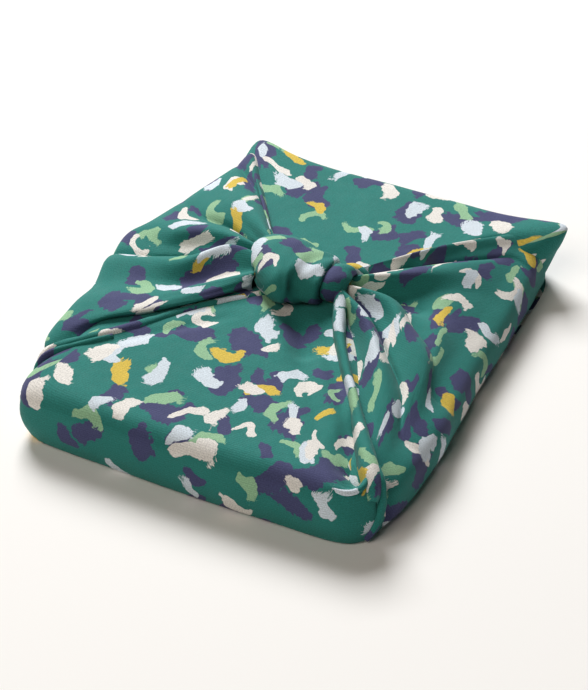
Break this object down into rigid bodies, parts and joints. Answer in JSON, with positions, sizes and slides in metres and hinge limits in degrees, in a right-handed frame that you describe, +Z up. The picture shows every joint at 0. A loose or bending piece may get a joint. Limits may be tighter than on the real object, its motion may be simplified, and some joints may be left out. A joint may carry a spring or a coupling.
{
  "type": "furoshiki wrap",
  "caption": "Square cotton cloth folded round a flat box and tied on top in a small knot, with gathered folds running over both sides.",
  "frame": {"origin": "middle of the flat underside, on the surface the wrap rests on", "axes": "+X along the front edge from left to right, +Y from the front edge to the back edge, +Z up through the knot"},
  "size_m": [0.2319, 0.276, 0.0585],
  "materials": {
    "printed_cotton": "soft cotton weave with a scattered brush-dab print in navy, cream, pale blue, sage and mustard on teal green"
  },
  "bodies": {
    "root": {"furoshiki": "printed_cotton"}
  },
  "joints": []
}
